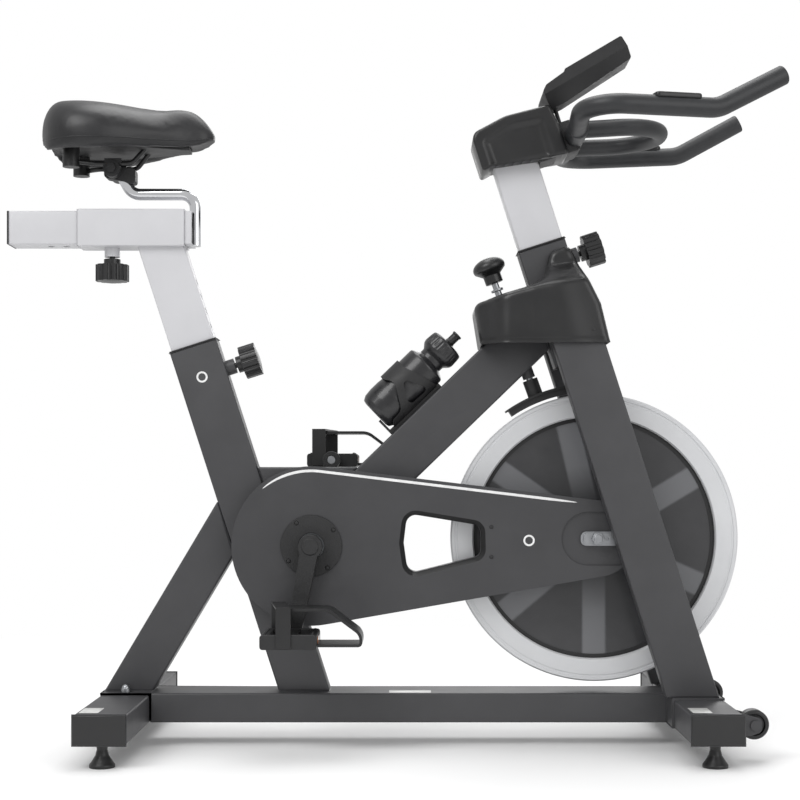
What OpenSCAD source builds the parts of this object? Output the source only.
// Indoor cycling bike: steel box-tube frame, belt-driven flywheel, sliding seat and handlebar.
// Millimetres. +X is forward, +Y is the rider's left, +Z is up, and the drive side faces -Y.
// The origin is on the floor, midway along the bike.

/* [Stance] */
// Distance from the middle of the bike back to the crank axis
crank_back = 108; // [100:1:116]
// Height of the crank axis above the floor
crank_z = 285; // [276:1:292]
// Horizontal run from the crank axis forward to the flywheel axle
axle_run = 405.5; // [398:0.5:410]
// Height of the flywheel axle above the crank axis
axle_rise = 10.5; // [6:0.5:18]
// Distance between the centrelines of the two stabilisers
stance = 809; // [780:1:840]
// Length of each stabiliser across the bike
stab_len = 460; // [430:1:500]
// Clear height under the stabilisers, set by the feet
foot_h = 32; // [26:1:38]

/* [Box tube] */
// Wide side of the main box tube
tube_w = 70; // [68:1:72]
// Narrow side of the main box tube
tube_d = 40; // [40:1:44]
// Wall of the box tube
tube_t = 1.5; // [1.5:0.1:2]
// Width of the base beam
beam_w = 80; // [76:1:90]
// Height of the base beam
beam_h = 42; // [40:1:46]
// Thickness of the mounting plates on the stabilisers
plate_t = 3; // [3:0.5:5]
// Width of the rear strut
strut_w = 60; // [54:1:64]
// Thickness of a fork leg across the bike
leg_d = 30; // [26:1:32]
// Clear distance between the fork legs
leg_gap = 116; // [114:1:120]

/* [Seat] */
// Backward lean of the seat tube, in degrees
seat_lean = 17.9; // [17:0.1:19]
// Height of the seat tube's top centre
seat_top_z = 571; // [560:1:580]
// Distance that the seat tube's top centre lies behind the middle of the bike
seat_top_back = 280; // [276:1:284]
// Length of seat post above the seat tube, along the tube
seat_post_out = 150; // [130:1:170]
// Length of seat post inside the seat tube
seat_post_in = 190; // [180:1:220]
// Side of the square seat slider
slider_w = 48; // [45:1:52]
// Length of the seat slider
slider_len = 262; // [250:1:280]
// Length of the sleeve that holds the slider
sleeve_len = 154; // [140:1:160]
// Diameter of the chromed saddle bar
saddle_bar_d = 17; // [16:1:19]

/* [Handlebar] */
// Backward lean of the head tube and of the fork legs, in degrees
head_lean = 17.8; // [17:0.1:19]
// Height of the head tube's top centre
head_top_z = 716; // [700:1:730]
// Distance that the head tube's top centre lies ahead of the middle of the bike
head_top_fwd = 221; // [216:1:226]
// Length of the head tube
head_len = 176; // [170:1:180]
// Length of handlebar post above the head tube, along the tube
bar_post_out = 140; // [120:1:160]
// Length of handlebar post inside the head tube
bar_post_in = 112; // [100:1:115]
// Diameter of the coated handlebar
bar_d = 27; // [25:1:30]
// Diameter of the coated inner loop
loop_d = 24; // [22:1:26]
// Half the distance between the outer grips
grip_y = 164; // [150:1:170]

/* [Drive] */
// Radius of the flywheel
flywheel_r = 207; // [195:1:210]
// Width of the flywheel's heavy rim
rim_w = 24; // [18:1:30]
// Radial depth of the flywheel's heavy rim
rim_depth = 33; // [26:1:38]
// Length of each crank arm between centres
crank_len = 125; // [115:1:130]
// Radius of the large drive pulley
pulley_r = 90; // [80:1:96]
// Radius of the small flywheel pulley
small_pulley_r = 26; // [22:1:30]
// Width of the poly-V belt
belt_w = 14; // [10:1:16]
// Thickness of the belt
belt_t = 3.5; // [3:0.5:4]
// Radius of the belt cover around the crank axis
cover_r = 113; // [106:1:116]
// Radius of the belt cover around the flywheel axle
cover_small_r = 54; // [50:1:58]
// Wall of the belt cover
cover_t = 2.5; // [2:0.5:3]

/* [Touch points] */
// Length of each pedal along the foot
pedal_l = 76; // [70:1:90]
// Width of each pedal across the foot
pedal_w = 96; // [90:1:104]
// Thickness of each pedal
pedal_h = 20; // [18:1:24]
// Diameter of the fluted knobs
knob_d = 48; // [40:1:52]
// Length of a fluted knob along its own axis
knob_l = 24; // [20:1:28]
// Radius of the bottle
bottle_r = 31; // [29:1:33]
// Radius of each transport wheel
wheel_r = 20; // [18:1:22]
// Diameter of each levelling foot at the floor
foot_d = 34; // [30:1:40]

/* [Fits] */
// Gap between a sliding piece and what guides it
slide_gap = 0.3; // [0.2:0.1:0.5]
// Radial clearance of a shaft or pin in its bore
run_gap = 0.05; // [0.02:0.01:0.1]
// Wall of the plastic sleeve in the top of each tube
bush_t = 1.2; // [1:0.1:2]
// Radius of the pop-pins
pin_r = 4; // [3:0.5:5]
// Pitch of the adjustment holes
hole_pitch = 22; // [20:1:25]

/* [Hidden] */
$fn = 64;

steel_black = "#3a3a3c";
plastic_black = "#242426";
satin_silver = "#d9d9d9";

// Larger than the bike, for cutting planes
far = 1500;

crank_x = -crank_back;
wheel_x = crank_x + axle_run;
wheel_z = crank_z + axle_rise;
drive_angle = atan2(axle_rise, axle_run);
axle_dist = norm([axle_run, axle_rise]);

stab_w = tube_w;
stab_h = tube_d;
stab_top = foot_h + stab_h;
beam_top = stab_top + plate_t;

// Head axis: the fork legs stand in line with the head tube
leg_foot_x = head_top_fwd + (head_top_z - beam_top) * tan(head_lean);
front_x = leg_foot_x + 8;
rear_x = front_x - stance;
leg_in = leg_gap / 2;
leg_out = leg_in + leg_d;

seat_top_x = -seat_top_back;
seat_len = (seat_top_z - beam_top) / cos(seat_lean);

post_w = tube_w - 2 * (tube_t + bush_t + slide_gap);
post_d = tube_d - 2 * (tube_t + bush_t + slide_gap);
post_t = 2;
bush_len = 62;
bush_lip = 2;

// The pop-pins cross their tubes this far below the top, measured along the tube
seat_pin_below = 44;
head_pin_below = 27;
pin_tip = post_w / 2 + slide_gap;
collar_r = 11;
collar_len = 13;
hole_r = 5;

// Down tube: through the crank axis to a point on the head axis
head_join = 90;
head_join_x = head_top_fwd + head_join * sin(head_lean);
head_join_z = head_top_z - head_join * cos(head_lean);
down_angle = atan2(head_join_z - crank_z, head_join_x - crank_x);
down_len = norm([head_join_x - crank_x, head_join_z - crank_z]);

// Mid tube: level, above the crank axis
mid_top = crank_z + 112;

// Sideways stations of the drive, from the middle plane outwards
cover_in = 23.5;
cover_out = 52;
belt_mid = 38;
arm_in = 62;
arm_t = 16;
arm_out = arm_in + arm_t;
pedal_in = arm_out + 10;
crank_swing = 10.6;
crank_axle_r = 8.5;
bb_r = 21;
bb_len = 34;
wheel_axle_r = 6;
hub_r = 28;
hub_half = 20;

// Brake: the tension rod stands behind the head tube
rod_lean = 20;
rod_r = 5;
rod_x = head_top_fwd - 71;
rod_z = head_top_z - 40;
brake_gap = 3.6;

// Seat carriage
sleeve_t = 2.4;
slider_z = seat_top_z + seat_post_out * cos(seat_lean) + slider_w / 2 + slide_gap + sleeve_t;
carriage_x = seat_top_x - seat_post_out * sin(seat_lean);
sleeve_out = slider_w + 2 * (slide_gap + sleeve_t);
sleeve_rear = carriage_x - 119;
slider_front = sleeve_rear + sleeve_len + 10;
slider_rear = slider_front - slider_len;
slider_pin_x = sleeve_rear + 46;
cap_t = 3;
bar_x = slider_front + 2.5;

// Saddle, measured from its clamp bolt
clamp_x = sleeve_rear + 50;
clamp_z = slider_z + 84;
rail_r = 3.5;
rail_y = 22;
rail_z = clamp_z + 8;

function unit(v) = v / norm(v);

// Points of an arc of radius r that rounds the corner at b between a and c
function corner(a, b, c, r, n) = r == 0 ? [b] : let(
    u = unit(a - b), v = unit(c - b), half = acos(u * v) / 2,
    p = u * r / tan(half), q = v * r / tan(half),
    m = unit(u + v) * r / sin(half), sweep = 180 - 2 * half)
    [for (i = [0:n]) b + m + (sin((1 - i / n) * sweep) * (p - m) + sin(i / n * sweep) * (q - m)) / sin(sweep)];

// A closed outline with its corners rounded; each point is [x, y, radius]
function rounded(pts, n = 6) = [for (i = [0:len(pts) - 1]) let(
    a = pts[(i + len(pts) - 1) % len(pts)], b = pts[i], c = pts[(i + 1) % len(pts)])
    each corner([a.x, a.y], [b.x, b.y], [c.x, c.y], b.z, n)];

// An open route in space with its corners rounded to radius r
function bent(pts, r, n = 5) = [pts[0],
    each [for (i = [1:len(pts) - 2]) each corner(pts[i - 1], pts[i], pts[i + 1], r, n)],
    pts[len(pts) - 1]];

// A round bar swept along a route of points
module sweep(path, r, sides = 16, up = [0, 0, 1]) {
    last = len(path) - 1;
    dirs = [for (i = [0:last]) unit(path[min(i + 1, last)] - path[max(i - 1, 0)])];
    ring = [for (i = [0:last]) let(s = unit(cross(dirs[i], up)), v = cross(s, dirs[i]))
        for (k = [0:sides - 1]) path[i] + r * (s * cos(360 * k / sides) + v * sin(360 * k / sides))];
    walls = [for (i = [0:last - 1]) for (k = [0:sides - 1]) let(j = (k + 1) % sides)
        [i * sides + k, i * sides + j, (i + 1) * sides + j, (i + 1) * sides + k]];
    polyhedron(ring, concat([[for (k = [sides - 1:-1:0]) k]], walls,
        [[for (k = [0:sides - 1]) last * sides + k]]), convexity = 10);
}

// A cylinder along Y from y0 to y1, on the axis through x, z
module across(x, z, r, y0, y1) translate([x, y1, z]) rotate([90, 0, 0]) cylinder(r = r, h = y1 - y0);

// An outline drawn in X and Z, extruded across the bike from y0 to y1
module side_shape(y0, y1) translate([0, y1, 0]) rotate([90, 0, 0]) linear_extrude(y1 - y0) children();

// A hollow box tube along +Z, w along X and d along Y
module box_tube(len, w, d, t) linear_extrude(len) difference() {
    square([w, d], center = true);
    square([w - 2 * t, d - 2 * t], center = true);
}

// Frame of reference at the top of each leaning tube, with +Z up along the tube
module at_seat_top() translate([seat_top_x, 0, seat_top_z]) rotate([0, -seat_lean, 0]) children();
module at_head_top() translate([head_top_fwd, 0, head_top_z]) rotate([0, -head_lean, 0]) children();
// Frame of reference on the crank axis, with +X up along the down tube
module at_down_tube() translate([crank_x, 0, crank_z]) rotate([0, -down_angle, 0]) children();
// Frame of reference on the tension rod, with +Z up along the rod
module at_rod() translate([rod_x, 0, rod_z]) rotate([0, -rod_lean, 0]) children();

// Everything above height z
module above(z) translate([-far, -far, z]) cube([2 * far, 2 * far, far]);

// Everything ahead of a plane along the seat tube, and everything behind the tube's front face
module ahead_of_seat_tube(x) at_seat_top() translate([x, -far / 2, -far]) cube([far, far, 2 * far]);
module behind_seat_tube() at_seat_top() translate([tube_w / 2 - far, -far / 2, -far]) cube([far, far, 2 * far]);
// Solid core of the down tube, which the shroud is cut against
module down_core() at_down_tube() translate([-tube_w * 2, -tube_d / 2, -tube_w / 2])
    cube([down_len + tube_w * 2, tube_d, tube_w]);

// A row of holes along -Z on the front face of a post
module post_holes(first, count) for (i = [0:count - 1])
    translate([0, 0, first - i * hole_pitch]) rotate([0, 90, 0]) cylinder(r = hole_r, h = far);

// ---- Base ----

module base_beam() color(steel_black) {
    x0 = rear_x + stab_w / 2;
    x1 = front_x - stab_w / 2;
    translate([x0 + plate_t, 0, beam_top - beam_h / 2]) rotate([0, 90, 0])
        box_tube(x1 - x0 - 2 * plate_t, beam_h, beam_w, tube_t + 0.5);
    for (end = [[rear_x, 1, beam_w / 2], [front_x, -1, leg_out + 4]]) difference() {
        translate([end.x, 0, 0]) union() {
            translate([-stab_w / 2, -end.z, stab_top]) cube([stab_w, 2 * end.z, plate_t]);
            translate([end.y > 0 ? stab_w / 2 : -stab_w / 2 - plate_t, -end.z, beam_top - beam_h])
                cube([plate_t, 2 * end.z, beam_h]);
        }
        for (y = [-bolt_y, bolt_y]) translate([end.x, y, stab_top - 1]) cylinder(r = bolt_r + 0.3, h = plate_t + 2);
    }
}

bolt_y = 30;
bolt_r = 4;
nut_r = 7;
ear_y = 157;
ear_gap = 26;
ear_t = 3;
wheel_pin_r = 4;
wheel_axle_x = front_x + stab_w / 2 + 25;
wheel_axle_z = foot_h + 18;
stem_r = 4;
foot_y = 205;
stem_len = 26;

module stabilisers() color(steel_black) {
    for (x = [rear_x, front_x]) difference() {
        translate([x, stab_len / 2 - 3, foot_h + stab_h / 2]) rotate([90, 0, 0])
            box_tube(stab_len - 6, stab_w, stab_h, tube_t + 0.5);
        for (y = [-bolt_y, bolt_y]) translate([x, y, 0]) cylinder(r = bolt_r + 0.3, h = far);
        for (y = [-foot_y, foot_y]) translate([x, y, 0]) cylinder(r = stem_r + run_gap, h = foot_h + stab_h / 2);
    }
    for (s = [-1, 1]) for (e = [-1, 1]) {
        y = s * ear_y + e * (ear_gap / 2 + ear_t / 2);
        difference() {
            side_shape(y - ear_t / 2, y + ear_t / 2) polygon(rounded([
                [front_x + stab_w / 2, foot_h + 4, 0], [wheel_axle_x - 6, foot_h + 4, 6],
                [wheel_axle_x + 9, wheel_axle_z - 9, 8], [wheel_axle_x + 9, wheel_axle_z + 9, 8],
                [front_x + stab_w / 2, stab_top - 4, 0]]));
            across(wheel_axle_x, wheel_axle_z, wheel_pin_r, -far, far);
        }
    }
    for (s = [-1, 1]) {
        half = ear_gap / 2 + ear_t;
        across(wheel_axle_x, wheel_axle_z, wheel_pin_r, s * ear_y - half, s * ear_y + half);
        for (e = [0, 1]) across(wheel_axle_x, wheel_axle_z, 7,
            s * ear_y - half - 3 + e * (2 * half + 3), s * ear_y - half + e * (2 * half + 3));
    }
}

module stabiliser_caps() color(plastic_black) for (x = [rear_x, front_x]) for (s = [-1, 1])
    translate([x, s * (stab_len / 2 - 1.5), foot_h + stab_h / 2]) {
        cube([stab_w, 3, stab_h], center = true);
        translate([0, -s * 9, 0]) cube([stab_w - 6, 15, stab_h - 6], center = true);
    }

module frame_bolts() color("silver") for (x = [rear_x, front_x]) for (y = [-bolt_y, bolt_y]) translate([x, y, 0]) {
    translate([0, 0, foot_h - 3]) cylinder(r = bolt_r, h = beam_top + 3 - foot_h);
    translate([0, 0, foot_h - 4]) cylinder(r = 10, h = 4);
    translate([0, 0, beam_top]) cylinder(r = nut_r, h = 6);
    translate([0, 0, beam_top + 6]) intersection() {
        sphere(r = nut_r - 1);
        cylinder(r = nut_r, h = nut_r);
    }
}

// ---- Frame tubes ----

// Threaded collar for a pop-pin, on the front face of a leaning tube
module collar(below) translate([0, 0, -below]) rotate([0, 90, 0]) difference() {
    translate([0, 0, tube_w / 2]) cylinder(r = collar_r, h = collar_len);
    cylinder(r = pin_r + run_gap, h = far);
}

module seat_tube() color(steel_black) {
    intersection() {
        difference() {
            at_seat_top() translate([0, 0, -seat_len - tube_w]) box_tube(seat_len + tube_w, tube_w, tube_d, tube_t);
            at_seat_top() translate([0, 0, -seat_pin_below]) rotate([0, 90, 0]) cylinder(r = hole_r, h = far);
        }
        above(beam_top);
    }
    at_seat_top() collar(seat_pin_below);
}

// Rear strut: from the rear plate up to the seat tube
strut_foot_x = rear_x + 2;
strut_join_z = 350;
strut_join_x = seat_top_x + (seat_top_z - strut_join_z) * tan(seat_lean);
strut_lean = atan2(strut_join_x - strut_foot_x, strut_join_z - beam_top);

module rear_strut() color(steel_black) difference() {
    intersection() {
        translate([strut_foot_x, 0, beam_top]) rotate([0, strut_lean, 0]) translate([0, 0, -strut_w])
            box_tube(norm([strut_join_x - strut_foot_x, strut_join_z - beam_top]) + strut_w, strut_w, tube_d, tube_t);
        above(beam_top);
    }
    ahead_of_seat_tube(-tube_w / 2);
}

module mid_tube() color(steel_black) difference() {
    translate([seat_top_x, 0, mid_top - tube_d / 2]) rotate([0, 90, 0])
        box_tube(crank_x - seat_top_x + tube_w, tube_d, tube_d, tube_t);
    behind_seat_tube();
    at_down_tube() translate([-far, -far / 2, -far]) cube([2 * far, far, far + tube_w / 2]);
}

guide_r = 9;

module down_tube() color(steel_black) {
    difference() {
        union() {
            at_down_tube() translate([-tube_w * 2, 0, 0]) rotate([0, 90, 0])
                box_tube(down_len + tube_w * 2, tube_w, tube_d, tube_t);
            // Guide tube of the tension rod, through both walls
            at_rod() translate([0, 0, -head_join - tube_w]) cylinder(r = guide_r, h = head_join + tube_w / 2);
        }
        behind_seat_tube();
        at_head_top() translate([-tube_w / 2, -far / 2, -far / 2]) cube([far, far, far]);
        across(crank_x, crank_z, bb_r, -far, far);
        at_rod() translate([0, 0, -far]) cylinder(r = rod_r + slide_gap, h = 2 * far);
    }
}

module head_tube() color(steel_black) at_head_top() {
    difference() {
        translate([0, 0, -head_len]) box_tube(head_len, tube_w, tube_d, tube_t);
        translate([0, 0, -head_pin_below]) rotate([0, 90, 0]) cylinder(r = hole_r, h = far);
    }
    collar(head_pin_below);
}

crown_from = 70;
crown_len = 80;
crown_w = 56;

module fork_legs() color(steel_black) for (s = [-1, 1]) {
    intersection() {
        at_head_top() translate([0, s * (leg_in + leg_d / 2), -far])
            box_tube(far - crown_from, tube_w, leg_d, tube_t);
        above(beam_top);
    }
    // Crown block between the leg and the head tube
    at_head_top() translate([0, s * (tube_d / 2 + (leg_in - tube_d / 2) / 2), -crown_from - crown_len / 2])
        cube([crown_w, leg_in - tube_d / 2, crown_len], center = true);
}

// ---- Sleeves in the tube tops ----

module bush(below) difference() {
    union() {
        translate([0, 0, -bush_len]) linear_extrude(bush_len)
            square([tube_w - 2 * tube_t, tube_d - 2 * tube_t], center = true);
        linear_extrude(bush_lip) square([tube_w, tube_d], center = true);
    }
    translate([0, 0, -far]) linear_extrude(2 * far)
        square([post_w + 2 * slide_gap, post_d + 2 * slide_gap], center = true);
    translate([0, 0, -below]) rotate([0, 90, 0]) cylinder(r = hole_r, h = far);
}

module post_sleeves() color(plastic_black) {
    at_seat_top() bush(seat_pin_below);
    at_head_top() bush(head_pin_below);
}

// ---- Crank and belt drive ----

bb_bore_r = 16;
bearing_w = 10;

module bottom_bracket() color(steel_black) difference() {
    across(crank_x, crank_z, bb_r, -cover_in + 1, bb_len);
    across(crank_x, crank_z, bb_bore_r, -far, far);
}

module ring(x, z, r0, r1, y0, y1) difference() {
    across(x, z, r1, y0, y1);
    across(x, z, r0, y0 - 1, y1 + 1);
}

module bearings() color("silver") {
    ring(crank_x, crank_z, crank_axle_r + run_gap, bb_bore_r, -cover_in + 1, -cover_in + 1 + bearing_w);
    ring(crank_x, crank_z, crank_axle_r + run_gap, bb_bore_r, bb_len - bearing_w, bb_len);
    for (s = [-1, 1]) ring(wheel_x, wheel_z, wheel_axle_r, 13,
        s > 0 ? hub_half - bearing_w : -hub_half, s > 0 ? hub_half : -hub_half + bearing_w);
}

module crank_axle() color("silver") across(crank_x, crank_z, crank_axle_r, -arm_out, arm_out);

module drive_pulley() color("dimgray") difference() {
    union() {
        ring(crank_x, crank_z, pulley_r - 10, pulley_r, -belt_mid - belt_w / 2, -belt_mid + belt_w / 2);
        ring(crank_x, crank_z, crank_axle_r, pulley_r - 10, -belt_mid - 3, -belt_mid + 3);
        ring(crank_x, crank_z, crank_axle_r, 22, -belt_mid - belt_w / 2, -belt_mid + belt_w / 2);
    }
    for (a = [0:72:288]) translate([crank_x, 0, crank_z]) rotate([0, a, 0]) across(50, 0, 17, -far, far);
}

// Where the two crank arms point, from the crank axis
function arm_dir(s) = [s * sin(crank_swing), 0, s * cos(crank_swing)];
function pedal_at(s) = [crank_x, 0, crank_z] + crank_len * arm_dir(s);
spindle_r = 6;
// Bosses at the two ends of an arm, and its width at each
arm_boss_r = 17;
arm_tip_r = 13;
arm_w = 26;
arm_tip_w = 20;
dust_cap = 1.5;

// Right arm (s = -1) points down and back, left arm (s = +1) points up and forward
module crank_arms() color(plastic_black) for (s = [-1, 1]) {
    y0 = s < 0 ? -arm_out : arm_in;
    side_shape(y0, y0 + arm_t) translate([crank_x, crank_z]) rotate(s < 0 ? 180 - crank_swing : -crank_swing) difference() {
        union() {
            circle(r = arm_boss_r);
            translate([0, crank_len]) circle(r = arm_tip_r);
            polygon([[-arm_w / 2, 0], [arm_w / 2, 0], [arm_tip_w / 2, crank_len], [-arm_tip_w / 2, crank_len]]);
        }
        circle(r = crank_axle_r);
        translate([0, crank_len]) circle(r = spindle_r);
    }
    // Cap over the end of the axle
    across(crank_x, crank_z, crank_axle_r + 3, s < 0 ? -arm_out - dust_cap : arm_out,
        s < 0 ? -arm_out : arm_out + dust_cap);
}

module pedal_spindles() color("silver") for (s = [-1, 1]) {
    p = pedal_at(s);
    y1 = pedal_in + pedal_w - 8;
    across(p.x, p.z, spindle_r, s < 0 ? -y1 : arm_in, s < 0 ? -arm_in : y1);
    ring(p.x, p.z, spindle_r, 9, s < 0 ? -arm_out - 4 : arm_out, s < 0 ? -arm_out : arm_out + 4);
}

pedal_rail = 12;

// Block pedal: a frame of four walls round a bored barrel
module pedal(s) {
    p = pedal_at(s);
    mid = s * (pedal_in + pedal_w / 2);
    color(plastic_black) translate([p.x, mid, p.z]) difference() {
        union() {
            difference() {
                side_shape(-pedal_w / 2, pedal_w / 2) polygon(rounded([
                    [-pedal_l / 2, -pedal_h / 2, 4], [pedal_l / 2, -pedal_h / 2, 4],
                    [pedal_l / 2, pedal_h / 2, 4], [-pedal_l / 2, pedal_h / 2, 4]], 3));
                for (e = [-1, 1]) translate([e * (pedal_l / 4 - 1), 0, 0])
                    cube([pedal_l / 2 - pedal_rail - 12, pedal_w - 2 * pedal_rail, 2 * pedal_h], center = true);
            }
            across(0, 0, spindle_r + 4, -pedal_w / 2, pedal_w / 2);
        }
        across(0, 0, spindle_r + run_gap, s < 0 ? -pedal_w / 2 + 7.5 : -far, s < 0 ? far : pedal_w / 2 - 7.5);
    }
}

clip_reach = 61;
clip_h = 44;
clip_t = 4;
clip_w = 62;
strap_w = 20;

// Toe clip: a flat hoop out from the pedal's front and back over the foot, with its strap
module toe_clip(s) {
    p = pedal_at(s);
    mid = s * (pedal_in + pedal_w / 2);
    front = pedal_l / 2;
    color(plastic_black) translate([p.x, mid, p.z]) {
        side_shape(-clip_w / 2, clip_w / 2) polygon(rounded([[front + 0.2, -8, 0], [front + clip_reach, -8, 6], [front + clip_reach, 10, 18],
            [front + 16, clip_h, 26], [-14, clip_h, 0], [-14, clip_h - clip_t, 0],
            [front + 14, clip_h - clip_t, 22], [front + clip_reach - clip_t, 8, 14],
            [front + clip_reach - clip_t, -8 + clip_t, 2], [front + 0.2, -8 + clip_t, 0]]));
        // Strap across the foot and down both sides of the pedal
        for (e = [-1, 1]) translate([e == s ? -strap_w + 4 : -strap_w - 10, e * (pedal_w / 2 + 1.4) - 1.2, -8])
            cube([strap_w, 2.4, clip_h + 8]);
        translate([0, 0, clip_h]) linear_extrude(3) polygon([
            [-strap_w + 4, s * (pedal_w / 2 + 2.6)], [4, s * (pedal_w / 2 + 2.6)],
            [-10, -s * (pedal_w / 2 + 2.6)], [-strap_w - 10, -s * (pedal_w / 2 + 2.6)]]);
    }
}

// Belt path: two arcs joined by straight runs, offset by o from the pulleys
module belt_loop(o) {
    drop = pulley_r - small_pulley_r;
    tilt = asin(drop / axle_dist);
    big = [for (i = [0:30]) let(a = 90 - tilt + i * (180 + 2 * tilt) / 30) (pulley_r + o) * [cos(a), sin(a)]];
    small = [for (i = [0:14]) let(a = -90 + tilt + i * (180 - 2 * tilt) / 14)
        [axle_dist, 0] + (small_pulley_r + o) * [cos(a), sin(a)]];
    translate([crank_x, crank_z]) rotate(drive_angle) polygon(concat(big, small));
}

module drive_belt() color("#1c1c1c") side_shape(-belt_mid - belt_w / 2 + 1, -belt_mid + belt_w / 2 - 1) difference() {
    belt_loop(slide_gap + belt_t);
    belt_loop(slide_gap);
}

// Outline of the belt cover: an arc at each end joined by its tangents, drawn o inside its own edge
module cover_outline(o = 0) {
    tilt = asin((cover_r - cover_small_r) / axle_dist);
    big = [for (i = [0:48]) let(a = 90 - tilt + i * (180 + 2 * tilt) / 48) (cover_r - o) * [cos(a), sin(a)]];
    small = [for (i = [0:24]) let(a = -90 + tilt + i * (180 - 2 * tilt) / 24)
        [axle_dist, 0] + (cover_small_r - o) * [cos(a), sin(a)]];
    translate([crank_x, crank_z]) rotate(drive_angle) polygon(concat(big, small));
}

window_rim = 8;
function window_points() = [
    [crank_x + 136, crank_z + 46, 14], [crank_x + 240, crank_z + 29, 12],
    [crank_x + 241, crank_z - 14, 12], [crank_x + 137, crank_z - 40, 14], [crank_x + 131, crank_z + 4, 0]];
// Hand hole between the belt runs
module window() polygon(rounded(window_points()));
module window_wall() offset(r = window_rim) window();

dish_r = 67;
dish_depth = 2;
plate_r = 43.5;
plate_w = 2.5;
plate_screws = [36, 123, 214, 306];
// Room round the shafts where they pass through the inner cover
shaft_room = 2;
recess_r = 38;

module recess_outline() {
    translate([wheel_x - 13, wheel_z]) circle(r = recess_r);
    translate([wheel_x - 13, wheel_z - recess_r]) square([90, 2 * recess_r]);
}

// Depth of the sunk face round the axle
recess_sink = 3;

module belt_cover_outer() color("#444446") difference() {
    union() {
        side_shape(-cover_out, -cover_in - cover_t) difference() {
            cover_outline();
            cover_outline(cover_t);
        }
        side_shape(-cover_out, -cover_out + cover_t) difference() {
            cover_outline(cover_t);
            translate([crank_x, crank_z]) circle(r = dish_r);
            recess_outline();
            window_wall();
        }
        // Dished ring down to the crank plate
        translate([crank_x, -cover_out + cover_t, crank_z]) rotate([90, 0, 0]) rotate_extrude() polygon([
            [dish_r, 0], [dish_r, cover_t], [plate_r + 1, -dish_depth], [plate_r - 4, -dish_depth],
            [plate_r - 4, -dish_depth - cover_t + 0.5], [plate_r + 1, -dish_depth - cover_t + 0.5]]);
        // Rim round the hand hole
        side_shape(-cover_out, -cover_in - cover_t) difference() {
            window_wall();
            window();
        }
        // Sunk floor round the axle, with a slot for it
        side_shape(-cover_out + recess_sink, -cover_out + recess_sink + cover_t) difference() {
            intersection() {
                recess_outline();
                cover_outline(cover_t);
            }
            translate([wheel_x - 14, wheel_z]) circle(r = wheel_axle_r + 1);
            translate([wheel_x - 14, wheel_z - wheel_axle_r - 1]) square([far, 2 * wheel_axle_r + 2]);
        }
        side_shape(-cover_out, -cover_out + recess_sink + cover_t) intersection() {
            difference() {
                offset(r = 1) recess_outline();
                recess_outline();
            }
            cover_outline(cover_t);
        }
    }
    // Way in for the axle bracket behind the fork leg
    translate([wheel_x + 22, -cover_out - 1, wheel_z - bracket_h / 2 - 1]) cube([60, 14, bracket_h + 2]);
}

module belt_cover_inner() color("#444446") side_shape(-cover_in - cover_t, -cover_in) difference() {
    cover_outline();
    window();
    translate([crank_x, crank_z]) circle(r = bb_r + shaft_room);
    translate([wheel_x, wheel_z]) circle(r = hub_r + 2 * shaft_room);
}

// The plate lies on the inner ledge of the dish
plate_y = cover_out - cover_t - dish_depth;

module crank_cover_plate() color(plastic_black) difference() {
    across(crank_x, crank_z, plate_r, -plate_y - plate_w, -plate_y);
    across(crank_x, crank_z, arm_boss_r + 1.5, -far, far);
    // Sunk heads of the four cover screws
    for (a = plate_screws) across(crank_x + (plate_r - 5) * cos(a), crank_z + (plate_r - 5) * sin(a), 3.2,
        -far, -plate_y - plate_w + 1);
}

// ---- Flywheel ----

module flywheel() color("#9a9a9c") {
    difference() {
        union() {
            ring(wheel_x, wheel_z, flywheel_r - rim_depth, flywheel_r, -rim_w / 2, rim_w / 2);
            ring(wheel_x, wheel_z, 13 + run_gap, hub_r, -hub_half, hub_half);
            ring(wheel_x, wheel_z, hub_r, flywheel_r - rim_depth, -4, 4);
        }
        // Groove between the disc and the rim
        for (s = [-1, 1]) ring(wheel_x, wheel_z, flywheel_r - rim_depth - 5, flywheel_r - rim_depth,
            s > 0 ? 3 : -5, s > 0 ? 5 : -3);
    }
}

module flywheel_pulley() color("dimgray") difference() {
    union() {
        across(wheel_x, wheel_z, small_pulley_r, -belt_mid - belt_w / 2, -belt_mid + belt_w / 2);
        across(wheel_x, wheel_z, 18, -belt_mid + belt_w / 2, -hub_half);
    }
    across(wheel_x, wheel_z, wheel_axle_r + run_gap, -far, far);
}

module flywheel_axle() color("silver") {
    axle_half = bracket_y + bracket_t + adjuster_t + 9;
    across(wheel_x, wheel_z, wheel_axle_r, -axle_half, axle_half);
    for (s = [-1, 1]) translate([wheel_x, s * (bracket_y + bracket_t + adjuster_t + 3.5), wheel_z]) rotate([90, 0, 0])
        difference() {
            cylinder(r = 9.5, h = 7, center = true, $fn = 6);
            cylinder(r = wheel_axle_r, h = 8, center = true);
        }
}

// The lug lies on the cover's sunk floor
bracket_y = cover_out - 3;
bracket_t = 5;
bracket_h = 20;
adjuster_t = 3;

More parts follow.
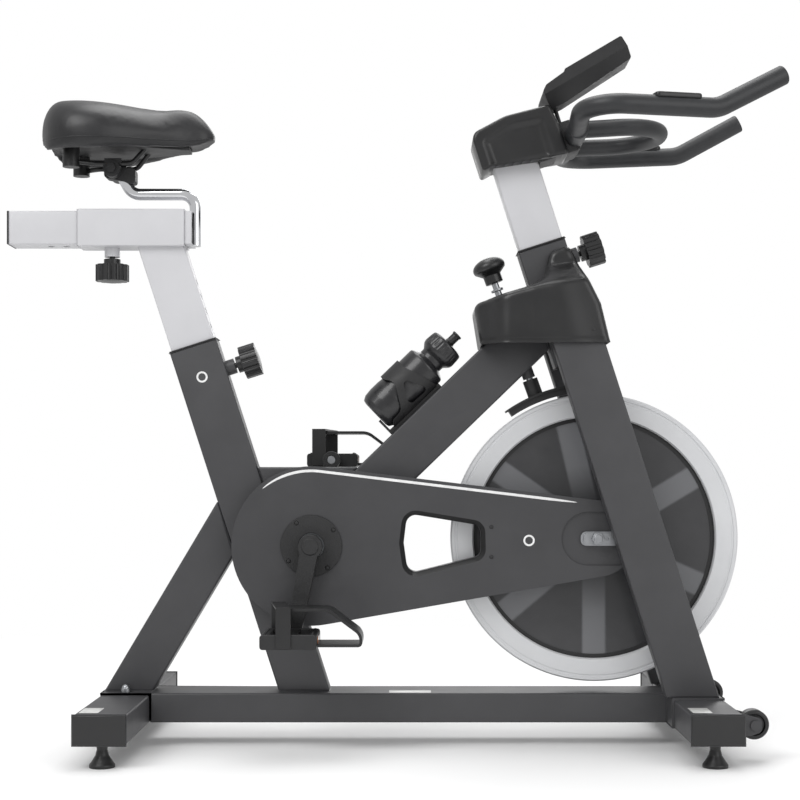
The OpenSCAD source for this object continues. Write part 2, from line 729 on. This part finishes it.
// Slotted lugs that carry the axle, welded to the inner faces of the fork legs,
// each with a thin adjuster plate under the nut
module axle_brackets() color("silver") for (s = [-1, 1]) {
    leg_x = head_top_fwd + (head_top_z - wheel_z) * tan(head_lean);
    difference() {
        union() {
            side_shape(s > 0 ? bracket_y : -bracket_y - bracket_t, s > 0 ? bracket_y + bracket_t : -bracket_y)
                polygon(rounded([[wheel_x - 24, wheel_z - bracket_h / 2, 8], [leg_x + 20, wheel_z - bracket_h / 2, 2],
                    [leg_x + 20, wheel_z + bracket_h / 2, 2], [wheel_x - 24, wheel_z + bracket_h / 2, 8]]));
            side_shape(s > 0 ? bracket_y + bracket_t : -leg_in, s > 0 ? leg_in : -bracket_y - bracket_t)
                translate([leg_x - 24, wheel_z - bracket_h / 2]) square([44, bracket_h]);
        }
        across(wheel_x, wheel_z, wheel_axle_r, -far, far);
    }
    side_shape(s > 0 ? bracket_y + bracket_t : -bracket_y - bracket_t - adjuster_t,
               s > 0 ? bracket_y + bracket_t + adjuster_t : -bracket_y - bracket_t) difference() {
        polygon(rounded([[wheel_x - 20, wheel_z - 8, 5], [wheel_x + 18, wheel_z - 8, 2],
            [wheel_x + 18, wheel_z + 8, 2], [wheel_x - 20, wheel_z + 8, 5]]));
        translate([wheel_x, wheel_z]) circle(r = wheel_axle_r);
        translate([wheel_x + 13, wheel_z]) circle(r = 2.2);
    }
}

// ---- Front shroud ----

shroud_y = 95;
shroud_t = 2.5;
// Gap between the two moulded halves
shroud_seam = 0.4;
ear_out = 44;
shroud_floor = head_top_z - 146;

function shroud_body() = [
    [head_top_fwd - 89, shroud_floor, 3], [head_top_fwd - 99, shroud_floor + 52, 12],
    [head_top_fwd - 24, shroud_floor + 81, 20], [head_top_fwd + 50, shroud_floor + 104, 8],
    [head_top_fwd + 78, shroud_floor + 56, 6], [head_top_fwd + 91, shroud_floor, 2]];
function shroud_ear() = [
    [head_top_fwd - 34, shroud_floor + 60, 0], [head_top_fwd - 14, shroud_floor + 84, 14],
    [head_top_fwd + 10, shroud_floor + 132, 14], [head_top_fwd + 36, shroud_floor + 146, 12],
    [head_top_fwd + 46, shroud_floor + 132, 6], [head_top_fwd + 64, shroud_floor + 84, 4],
    [head_top_fwd + 60, shroud_floor + 60, 0]];

module shroud_shell(y, outline) difference() {
    side_shape(0, y) polygon(rounded(outline));
    side_shape(-1, y - shroud_t) offset(delta = -shroud_t) polygon(rounded(outline));
}

module shroud_half() difference() {
    union() {
        difference() {
            shroud_shell(shroud_y, shroud_body());
            side_shape(-1, ear_out - shroud_t) offset(delta = -shroud_t) polygon(rounded(shroud_ear()));
        }
        difference() {
            shroud_shell(ear_out, shroud_ear());
            side_shape(-1, shroud_y - shroud_t) offset(delta = -shroud_t) polygon(rounded(shroud_body()));
        }
    }
    // Open underneath, where the down tube and the legs enter
    translate([-far, -far, shroud_floor - 5]) cube([2 * far, 2 * far, 5 + shroud_t + 1]);
    // Way through for the head tube, its sleeve and its collar
    at_head_top() translate([-tube_w / 2 - 1, -tube_d / 2 - 1, -far]) cube([tube_w + 2, tube_d + 2, 2 * far]);
    at_head_top() translate([0, -collar_r - 2, -head_pin_below - collar_r - 2]) cube([far, 2 * collar_r + 4, 60]);
    at_rod() translate([0, 0, -far]) cylinder(r = rod_r + 5, h = 2 * far);
    down_core();
    across(head_top_fwd + 66, shroud_floor + 19, 3, 0, far);
}

module front_shroud() color("#2e2e30") {
    translate([0, shroud_seam / 2, 0]) shroud_half();
    mirror([0, 1, 0]) translate([0, shroud_seam / 2, 0]) shroud_half();
}

// ---- Seat ----

// Seat post with the carriage sleeve welded on its top
module seat_post() color(satin_silver) {
    difference() {
        at_seat_top() translate([0, 0, -seat_post_in])
            box_tube(seat_post_in + seat_post_out + tube_w, post_w, post_d, post_t);
        at_seat_top() post_holes(6 * hole_pitch - seat_pin_below, 12);
        above(slider_z - sleeve_out / 2);
    }
    difference() {
        translate([sleeve_rear, 0, slider_z]) rotate([0, 90, 0])
            box_tube(sleeve_len, sleeve_out, sleeve_out, sleeve_t);
        translate([slider_pin_x, 0, slider_z]) rotate([180, 0, 0]) cylinder(r = hole_r, h = far);
    }
    // Collar of the slider's pop-pin
    difference() {
        translate([slider_pin_x, 0, slider_z - sleeve_out / 2 - collar_len]) cylinder(r = collar_r, h = collar_len);
        translate([slider_pin_x, 0, 0]) cylinder(r = pin_r + run_gap, h = far);
    }
}

// The slider's front end is notched for the saddle bar, which stands in it
module seat_slider() color(satin_silver) difference() {
    translate([slider_rear, 0, slider_z]) rotate([0, 90, 0]) box_tube(slider_len, slider_w, slider_w, slider_t);
    for (i = [0:4]) translate([slider_pin_x - i * hole_pitch, 0, slider_z - slider_w / 2 - 1])
        cylinder(r = hole_r, h = 4);
    bar_space();
}

module bar_space() translate([bar_x, 0, slider_z - slider_w]) cylinder(r = saddle_bar_d / 2, h = 2 * slider_w);

module slider_caps() color(plastic_black) translate([0, 0, slider_z]) {
    translate([slider_rear - cap_t / 2, 0, 0]) cube([cap_t, slider_w, slider_w], center = true);
    translate([slider_rear + plug_len / 2, 0, 0]) cube([plug_len, slider_w - 5, slider_w - 5], center = true);
    // Plug behind the saddle bar
    difference() {
        translate([slider_front - plug_len / 2, 0, 0]) cube([plug_len, slider_w - 5, slider_w - 5], center = true);
        translate([0, 0, -slider_z]) bar_space();
    }
}

slider_t = 2;
plug_len = 14;
bar_level = slider_z + 51.3;

// Route of the chromed bar: up from the slider, back, and up into the saddle clamp
bar_route = bent([[bar_x, 0, slider_z - slider_w / 2], [bar_x, 0, bar_level],
    [clamp_x + 25, 0, bar_level], [clamp_x + 9, 0, bar_level + 29]], 20, 8);

module saddle_bar() color("#e8e8ea") sweep(bar_route, saddle_bar_d / 2, 24, [0, 1, 0]);

clamp_w = 22;
clamp_bolt_r = 4;
cheek_w = 18;

// Centre block on the top of the saddle bar, with the cross bolt that the rails tilt on
module saddle_clamp() color(plastic_black) {
    difference() {
        side_shape(-clamp_w / 2, clamp_w / 2) polygon(rounded([
            [clamp_x - 14, clamp_z - 10, 6], [clamp_x + 31, clamp_z - 19, 4], [clamp_x + 31, clamp_z + 3, 5],
            [clamp_x + 6, clamp_z + 5, 5], [clamp_x - 14, clamp_z + 8, 6]]));
        sweep(bar_route, saddle_bar_d / 2, 24, [0, 1, 0]);
    }
    across(clamp_x, clamp_z, clamp_bolt_r, -clamp_w / 2 - cheek_w - 1, -clamp_w / 2);
    across(clamp_x, clamp_z, clamp_bolt_r, clamp_w / 2, clamp_w / 2 + cheek_w + 1);
    for (s = [-1, 1]) translate([clamp_x, s * (clamp_w / 2 + cheek_w + 3.5), clamp_z]) rotate([90, 0, 0])
        cylinder(r = nut_r, h = 5, center = true, $fn = 6);
}

// Two serrated cheeks that grip the rails and turn on the cross bolt
module rail_clamps() color(plastic_black) for (s = [-1, 1]) difference() {
    union() {
        across(clamp_x, clamp_z, 12, s > 0 ? clamp_w / 2 + 0.4 : -clamp_w / 2 - cheek_w - 0.4,
            s > 0 ? clamp_w / 2 + cheek_w + 0.4 : -clamp_w / 2 - 0.4);
        translate([clamp_x - 10, s * (clamp_w / 2 + 0.4 + cheek_w / 2) - 8, rail_z]) cube([24, 16, rail_r + 3]);
    }
    across(clamp_x, clamp_z, clamp_bolt_r + run_gap, -far, far);
    sweep(rail_route(s), rail_r, 12, [0, 1, 0]);
}

saddle_len = 249;
saddle_w = 190;
saddle_rear = clamp_x - 102;

function rail_route(s) = bent([[bumper_x + bumper_r - 4, s * bumper_y, rail_z], [clamp_x - 26, s * rail_y, rail_z],
    [clamp_x + 28, s * rail_y, rail_z], [clamp_x + 52, s * 16, base_z + 8]], 14);

// The rails stop at the underside of the moulded base
module saddle_rails() color(plastic_black) difference() {
    for (s = [-1, 1]) sweep(rail_route(s), rail_r, 12, [0, 1, 0]);
    above(base_z);
}

// Moulded base: a flat plate in the hollow under the pad
base_t = 6;
base_z = clamp_z + 28;
base_share = 0.6;
// Rubber bumpers between the base and the rear ends of the rails
bumper_r = 12;
bumper_drop = 8;
bumper_y = 36;
bumper_x = saddle_rear + 46;

// Half width of the saddle at a share u of its length from the rear
nose_half = 25;
function pad_half(u) = (u < 0.3 ? saddle_w / 2 * pow(max(0, 1 - pow((0.3 - u) / 0.3, 2.2)), 0.5)
    : nose_half + (saddle_w / 2 - nose_half) * pow(cos(90 * min(1, (u - 0.3) / 0.6)), 1.6))
    * (u < 0.86 ? 1 : pow(max(0, 1 - pow((u - 0.86) / 0.14, 2.2)), 0.5));
// Crown, flat underside and lower edge of the pad, as heights above the clamp bolt
function pad_top(u) = 82 + 16 * pow(cos(min(90, abs(u - 0.14) * 150)), 1.5)
    + 6 * exp(-pow((u - 0.8) / 0.1, 2)) - 34 * pow(max(0, (u - 0.84) / 0.16), 2.2)
    - 32 * pow(max(0, (0.14 - u) / 0.14), 2.6);
function pad_flat(u) = base_z + base_t - clamp_z + 12 * pow(max(0, (u - 0.84) / 0.16), 2)
    + 8 * pow(max(0, (0.08 - u) / 0.08), 1.5);
function pad_edge(u) = pad_flat(u) - 15 * min(1, 1.5 * (1 - u)) * pow(sin(min(90, 900 * u)), 0.5);

pad_steps = 22;
// Cross-section below the widest line: shares of the half width, and of the drop to the lower edge
pad_lip = [[0.99, 0.45], [0.95, 0.85], [0.89, 1], [0.82, 1], [0.75, 0.8], [0.7, 0]];

function pad_section(u) = let(half = pad_half(u), side = (0.7 * pad_edge(u) + 0.3 * pad_top(u)), top = pad_top(u),
    flat = pad_flat(u), drop = pad_edge(u) - flat, lift = side - pad_edge(u)) concat(
    [for (a = [0:12:180]) [-half * sign(cos(a)) * pow(abs(cos(a)), 0.85), side + (top - side) * pow(sin(a), 0.85)]],
    [for (i = [0:5]) [half * pad_lip[i].x, flat + (i < 3 ? drop + (1 - pad_lip[i].y) * lift : drop * pad_lip[i].y)]],
    [[0, flat]],
    [for (i = [5:-1:0]) [-half * pad_lip[i].x, flat + (i < 3 ? drop + (1 - pad_lip[i].y) * lift : drop * pad_lip[i].y)]]);

module saddle_pad() color("#2b2b2d") {
    us = [for (i = [0:pad_steps]) 0.004 + 0.992 * (1 - cos(180 * i / pad_steps)) / 2];
    pts = [for (u = us) for (p = pad_section(u)) [saddle_rear + u * saddle_len, p.x, clamp_z + p.y]];
    n = len(pad_section(0.5));
    polyhedron(pts, concat([[for (k = [n - 1:-1:0]) k]],
        [for (i = [0:pad_steps - 1]) for (k = [0:n - 1]) let(j = (k + 1) % n)
            [i * n + k, i * n + j, (i + 1) * n + j, (i + 1) * n + k]],
        [[for (k = [0:n - 1]) pad_steps * n + k]]), convexity = 6);
}

module saddle_base() color(plastic_black) translate([0, 0, base_z]) linear_extrude(base_t) polygon(concat(
    [for (u = [0.1:0.05:0.85]) [saddle_rear + u * saddle_len, base_share * pad_half(u)]],
    [for (u = [0.85:-0.05:0.1]) [saddle_rear + u * saddle_len, -base_share * pad_half(u)]]));

module saddle_bumpers() color("#1c1c1c") difference() {
    for (s = [-1, 1]) translate([bumper_x, s * bumper_y, rail_z - bumper_drop])
        cylinder(r = bumper_r, h = base_z - rail_z + bumper_drop);
    for (s = [-1, 1]) sweep(rail_route(s), rail_r, 12, [0, 1, 0]);
}

// ---- Handlebar ----

module handlebar_post() color(satin_silver) at_head_top() difference() {
    translate([0, 0, -bar_post_in]) box_tube(bar_post_in + bar_post_out, post_w, post_d, post_t);
    post_holes(5 * hole_pitch - head_pin_below, 8);
}

cover_y = 42;
cover_wall = 2.5;
stem_half = 30;
// Top of the stem block, above the head tube's top along the head axis
stem_top = bar_post_out + 18;
stem_h = 46;
stem_reach = 92;
bracket_rod_r = 3;

// Outline of the plastic cover over the stem, in the frame of the head axis
function cover_side() = [[-50, bar_post_out - 17, 4], [-50, bar_post_out + 39, 14], [4, bar_post_out + 49, 60],
    [69, bar_post_out + 45, 3], [73.5, bar_post_out + 18, 20], [74.5, bar_post_out - 30, 3],
    [30, bar_post_out - 24.5, 10], [-34, bar_post_out - 14, 3]];

module handlebar_cover() color(plastic_black) at_head_top() {
    difference() {
        side_shape(-cover_y, cover_y) polygon(rounded(cover_side()));
        side_shape(-cover_y + cover_wall, cover_y - cover_wall) offset(delta = -cover_wall) polygon(rounded(cover_side()));
        // Way in for the post from below and for the stem from the front
        translate([-post_w / 2 - 1, -stem_half - 1, 0]) cube([far, 2 * stem_half + 2, stem_top + 4]);
    }
    // Screw bosses that hold it on the stem block
    for (s = [-1, 1]) across(52, stem_top - 12, 5, s > 0 ? stem_half : -cover_y + cover_wall,
        s > 0 ? cover_y - cover_wall : -stem_half);
}

stem_x = head_top_fwd - bar_post_out * sin(head_lean);
stem_z = head_top_z + bar_post_out * cos(head_lean);
grip_z = stem_z + 30;
bend_x = stem_x + 268;
// Cross tube that joins the bars, on the front of the stem block
cross_x = stem_x + 90;
cross_z = grip_z - 8;
cross_r = 15;
// The grips' rear bends, and their tips beyond the bend
grip_rear_x = cross_x - 6;
// Middle of each pulse plate, behind the bend
plate_back = 57;
tip_x = bend_x + 93;
tip_z = grip_z + 49;
loop_x = stem_x + 214;

// The grips stand widest behind and draw in towards the bend
grip_spread = 38;
grip_splay = atan2(grip_spread, bend_x - grip_rear_x);
function outer_route(s) = bent([[cross_x, s * 20, cross_z - 3], [grip_rear_x, s * (grip_y + grip_spread), grip_z],
    [bend_x, s * grip_y, grip_z], [tip_x, s * (grip_y - 15), tip_z]], 46, 8);
function loop_route() = bent([[cross_x, -64, cross_z], [loop_x, -72, grip_z - 2],
    [loop_x, 72, grip_z - 2], [cross_x, 64, cross_z]], 66, 12);

// Coated bars, the stem that carries them and the two pulse plates
module handlebar() color(plastic_black) {
    for (s = [-1, 1]) {
        sweep(outer_route(s), bar_d / 2, 16);
        // Pulse plate on top of the grip
        translate([bend_x - plate_back, s * (grip_y + plate_back * tan(grip_splay)), grip_z + bar_d / 2 + 2.5])
            rotate([0, 0, -s * grip_splay]) difference() {
            translate([0, 0, 0.5]) cube([66, 24, 7], center = true);
            translate([0, 0, -bar_d / 2 - 2.5]) rotate([0, 90, 0]) cylinder(r = bar_d / 2 + 0.1, h = 200, center = true);
        }
    }
    sweep(loop_route(), loop_d / 2, 16);
    across(cross_x, cross_z, cross_r, -78, 78);
    // Block in front of the post and over its top, with a tongue down into it
    at_head_top() {
        translate([post_w / 2, -stem_half, stem_top - stem_h])
            cube([stem_reach - post_w / 2, 2 * stem_half, stem_h]);
        translate([-post_w / 2, -post_d / 2, bar_post_out]) cube([post_w, post_d, stem_top - bar_post_out]);
        translate([-post_w / 2 + post_t + slide_gap, -post_d / 2 + post_t + slide_gap, bar_post_out - 20])
            cube([post_w - 2 * post_t - 2 * slide_gap, post_d - 2 * post_t - 2 * slide_gap, 20]);
    }
}

console_tilt = 30.5;
console_half = 46;
// Half width of the case at its underside
console_foot = 20;
console_x = head_top_fwd + 5;
console_z = stem_z + 62;
console_len = 142;
console_t = 31;
console_wall = 2.5;
console_step = 47;

// Frame of reference near the console's lower rear edge, +X up its slope
module at_console() translate([console_x, 0, console_z]) rotate([0, -console_tilt, 0]) children();

// Where the bracket rod meets the console's underside, as a point in the bike's frame
bracket_top = [console_x + 36 * cos(console_tilt), 0, console_z + 36 * sin(console_tilt)];
// Where it turns down in front of the cover, and where it stands on the stem block
function head_point(x, z) = [head_top_fwd + x * cos(head_lean) - z * sin(head_lean), 0,
    head_top_z + x * sin(head_lean) + z * cos(head_lean)];

// Flanks of the case, which slope in towards its underside, moved inwards by o
module console_flanks(o) rotate([90, 0, 90]) linear_extrude(console_len + 10) polygon([
    [-console_foot + o, -8], [console_foot - o, -8], [console_half - o, 14], [console_half - o, console_t + 1],
    [-console_half + o, console_t + 1], [-console_half + o, 14]]);
screen_half = 34;

// Case with a sunk screen, the button's hole, and the bracket rod down to the stem block
module console_case() color(plastic_black) {
    difference() {
        at_console() difference() {
            intersection() {
                side_shape(-console_half, console_half) polygon(rounded([[6, -5, 4], [28, -7, 6], [console_len, -1, 3],
                    [console_len - 1, console_t, 3], [console_step + 1, console_t, 2],
                    [console_step - 1, console_t - 3, 2], [14, console_t - 6, 6], [5, console_t - 12, 6]]));
                console_flanks(0);
            }
            intersection() {
                side_shape(-console_half, console_half) polygon([[10, -2], [30, -4], [console_len - 4, 2],
                    [console_len - 4, console_t - 3], [52, console_t - 3], [16, console_t - 10],
                    [10, console_t - 15]]);
                console_flanks(console_wall);
            }
            translate([button_at, 0, 10]) cylinder(r = button_r + slide_gap, h = far);
            // Sunk screen
            translate([button_at + 16, -screen_half, console_t - 1]) cube([58, 2 * screen_half, 5]);
        }
        sweep(bracket_route, bracket_rod_r, 12, [0, 1, 0]);
    }
    sweep(bracket_route, bracket_rod_r, 12, [0, 1, 0]);
}

bracket_route = bent([bracket_top, head_point(81, bar_post_out + 45), head_point(81, stem_top)], 8);
button_r = 9;
button_at = 64;

module console_button() color("firebrick") at_console() translate([button_at, 0, console_t - 6]) {
    cylinder(r = button_r, h = 8);
    translate([0, 0, 0.6]) cylinder(r = button_r + 2, h = 1.8);
}

// ---- Knobs ----

// Fluted knob with its pop-pin, along +X; the pin's tip is at x = 0
module pop_knob(reach) {
    difference() {
        union() {
            translate([reach + 11, 0, 0]) rotate([0, 90, 0]) cylinder(r = knob_d / 2, h = knob_l);
            translate([reach + 3, 0, 0]) rotate([0, 90, 0]) cylinder(r = knob_d / 4, h = 8);
        }
        for (a = [0:30:330]) rotate([a, 0, 0]) translate([reach + 10, 0, knob_d / 2 + 1]) rotate([0, 90, 0])
            cylinder(r = 3.4, h = knob_l + 2, $fn = 24);
    }
    rotate([0, 90, 0]) cylinder(r = pin_r, h = reach + 4);
}

tube_reach = tube_w / 2 + collar_len - pin_tip;
slider_reach = sleeve_out / 2 + collar_len - slider_w / 2 - slide_gap;

module seat_height_knob() color(plastic_black) at_seat_top() translate([pin_tip, 0, -seat_pin_below])
    pop_knob(tube_reach);
module handlebar_knob() color(plastic_black) at_head_top() translate([pin_tip, 0, -head_pin_below])
    pop_knob(tube_reach);
module slider_knob() color(plastic_black) translate([slider_pin_x, 0, slider_z - slider_w / 2 - slide_gap])
    rotate([0, 90, 0]) pop_knob(slider_reach);

// ---- Brake ----

shoe_mid = 22;
shoe_half = 12;
shoe_r = flywheel_r + brake_gap;
shoe_t = 9;
// The rod ends where it meets the shoe's holder
rod_end = norm([rod_x - wheel_x, rod_z - wheel_z]) - shoe_r - shoe_t - 14;

module brake_rod() color("silver") at_rod() {
    translate([0, 0, -rod_end]) cylinder(r = rod_r, h = rod_end - 14);
    translate([0, 0, -14]) cylinder(r = rod_r - 1.5, h = 10);
    translate([0, 0, -26]) cylinder(r = 9, h = 3);
}

// Mushroom knob that turns on the rod
module brake_knob() color(plastic_black) at_rod() difference() {
    translate([0, 0, -13.6]) rotate_extrude() polygon(concat([[0, 0], [13, 0], [13, 12], [17, 15]],
        [for (a = [-20:10:90]) [24 * cos(a), 24 + 14 * sin(a)]]));
    translate([0, 0, -14]) cylinder(r = rod_r - 1.5 + run_gap, h = 10.4);
}

module wheel_arc(r0, r1, from, to) translate([wheel_x, wheel_z]) polygon(concat(
    [for (i = [0:16]) let(a = 90 + from + i * (to - from) / 16) r1 * [cos(a), sin(a)]],
    [for (i = [16:-1:0]) let(a = 90 + from + i * (to - from) / 16) r0 * [cos(a), sin(a)]]));

// Felt pad in its steel holder, with the socket for the rod
module brake_shoe() color("dimgray") difference() {
    union() {
        side_shape(-12, 12) wheel_arc(shoe_r, shoe_r + shoe_t, shoe_mid - shoe_half, shoe_mid + shoe_half);
        side_shape(-16, 16) wheel_arc(shoe_r + shoe_t, shoe_r + shoe_t + 3,
            shoe_mid - shoe_half - 2, shoe_mid + shoe_half + 1);
        intersection() {
            at_rod() translate([0, 0, -far - rod_end + 12]) cylinder(r = 11, h = far);
            side_shape(-16, 16) wheel_arc(shoe_r + shoe_t, shoe_r + 60, 0, 45);
        }
    }
    at_rod() translate([0, 0, -rod_end - 4.2]) cylinder(r = rod_r + slide_gap, h = far);
}

// ---- Feet, wheels, bottle ----

module foot(x, s) color("#1c1c1c") translate([x, s * foot_y, 0]) rotate_extrude() polygon([
    [0, 0], [foot_d / 2, 0], [foot_d / 2, 4], [foot_d / 2 - 3, 8], [9, 16], [7, 24], [8, foot_h - 0.4],
    [stem_r, foot_h - 0.4], [stem_r, foot_h - 0.4 + stem_len], [0, foot_h - 0.4 + stem_len]]);

module transport_wheel(s) color("#1c1c1c") translate([wheel_axle_x, s * ear_y, wheel_axle_z]) rotate([90, 0, 0])
    rotate_extrude() polygon([[wheel_pin_r + run_gap, -11.5], [9, -11.5], [9, -7], [14, -7], [14, -11],
        [wheel_r - 2, -11], [wheel_r, -9], [wheel_r, 9], [wheel_r - 2, 11], [14, 11], [14, 7], [9, 7],
        [9, 11.5], [wheel_pin_r + run_gap, 11.5]]);

bottle_from = 196;
bottle_lift = tube_w / 2 + 6.7 + bottle_r;
nozzle_r = 7.5;
neck_r = 19.5;
lid_r = 27;

// Frame of reference on the bottle's axis, with +Z from its base to its nozzle and -X towards the tube
module at_bottle() at_down_tube() translate([bottle_from, 0, bottle_lift]) rotate([0, 90, 0]) children();

module bottle() color("#303032") at_bottle() rotate_extrude() polygon([
    [0, 0], [bottle_r - 9, 0], [bottle_r, 20], [bottle_r, 100], [bottle_r - 2, 103],
    [neck_r, 109], [neck_r, 116], [lid_r - 1, 124], [lid_r, 128], [lid_r - 1.5, 145], [12, 147], [11, 148],
    [nozzle_r - 2, 148], [nozzle_r - 2, 161], [0, 161]]);

module bottle_nozzle() color("#1c1c1c") at_bottle() rotate_extrude() polygon([
    [nozzle_r - 2 + run_gap, 148.4], [nozzle_r, 148.4], [nozzle_r - 1, 151], [nozzle_r - 1, 162],
    [nozzle_r, 163], [nozzle_r, 165.5], [0, 165.5], [0, 161.4], [nozzle_r - 2 + run_gap, 161.4]]);

cage_gap = 0.6;
cage_t = 2.5;

// Side outline of the cage: a band over the bottle on two legs down to the spine
cage_outline = [[43, 40, 0], [77, 40, 0], [76, 19, 6], [91, -28, 6], [96, -60, 0], [4, -60, 0], [8, -24, 8],
    [30, -23, 12], [52, 14, 14], [43, 26, 6]];
cage_window = [[62, 8, 5], [81, -27, 5], [42, -26, 6]];

// Cage round the bottle, its spine on the down tube and the stop under the bottle
module bottle_cage() color(plastic_black) {
    at_down_tube() translate([bottle_from, 0, bottle_lift]) intersection() {
        rotate([0, 90, 0]) difference() {
            cylinder(r = bottle_r + cage_gap + cage_t, h = 2 * bottle_r + 60);
            translate([0, 0, -1]) cylinder(r = bottle_r + cage_gap, h = far);
        }
        side_shape(-far, far) difference() {
            polygon(rounded(cage_outline));
            polygon(rounded(cage_window));
        }
    }
    at_down_tube() difference() {
        translate([bottle_from - 4, -9, tube_w / 2]) cube([100, 18, 7]);
        translate([bottle_from - 5, 0, bottle_lift]) rotate([0, 90, 0]) cylinder(r = bottle_r + cage_gap, h = far);
    }
    at_down_tube() translate([bottle_from - 4, -9, tube_w / 2 + 3]) cube([3.4, 18, 24]);
}

base_beam();
stabilisers();
stabiliser_caps();
frame_bolts();
seat_tube();
rear_strut();
mid_tube();
down_tube();
head_tube();
fork_legs();
bottom_bracket();
bearings();
flywheel_axle();
axle_brackets();
belt_cover_outer();
belt_cover_inner();
crank_cover_plate();
drive_belt();
front_shroud();
post_sleeves();
bottle_cage();
crank_axle();
drive_pulley();
crank_arms();
pedal_spindles();
pedal(-1);  // pedal_right
pedal(1);  // pedal_left
toe_clip(-1);  // toe_clip_right
toe_clip(1);  // toe_clip_left
flywheel();
flywheel_pulley();
seat_post();
seat_slider();
slider_caps();
saddle_bar();
saddle_clamp();
rail_clamps();
saddle_rails();
saddle_base();
saddle_pad();
saddle_bumpers();
handlebar_post();
handlebar_cover();
handlebar();
console_case();
console_button();
seat_height_knob();
slider_knob();
handlebar_knob();
brake_rod();
brake_knob();
brake_shoe();
foot(rear_x, -1);  // foot_rear_right
foot(rear_x, 1);  // foot_rear_left
foot(front_x, -1);  // foot_front_right
foot(front_x, 1);  // foot_front_left
transport_wheel(-1);  // transport_wheel_right
transport_wheel(1);  // transport_wheel_left
bottle();
bottle_nozzle();
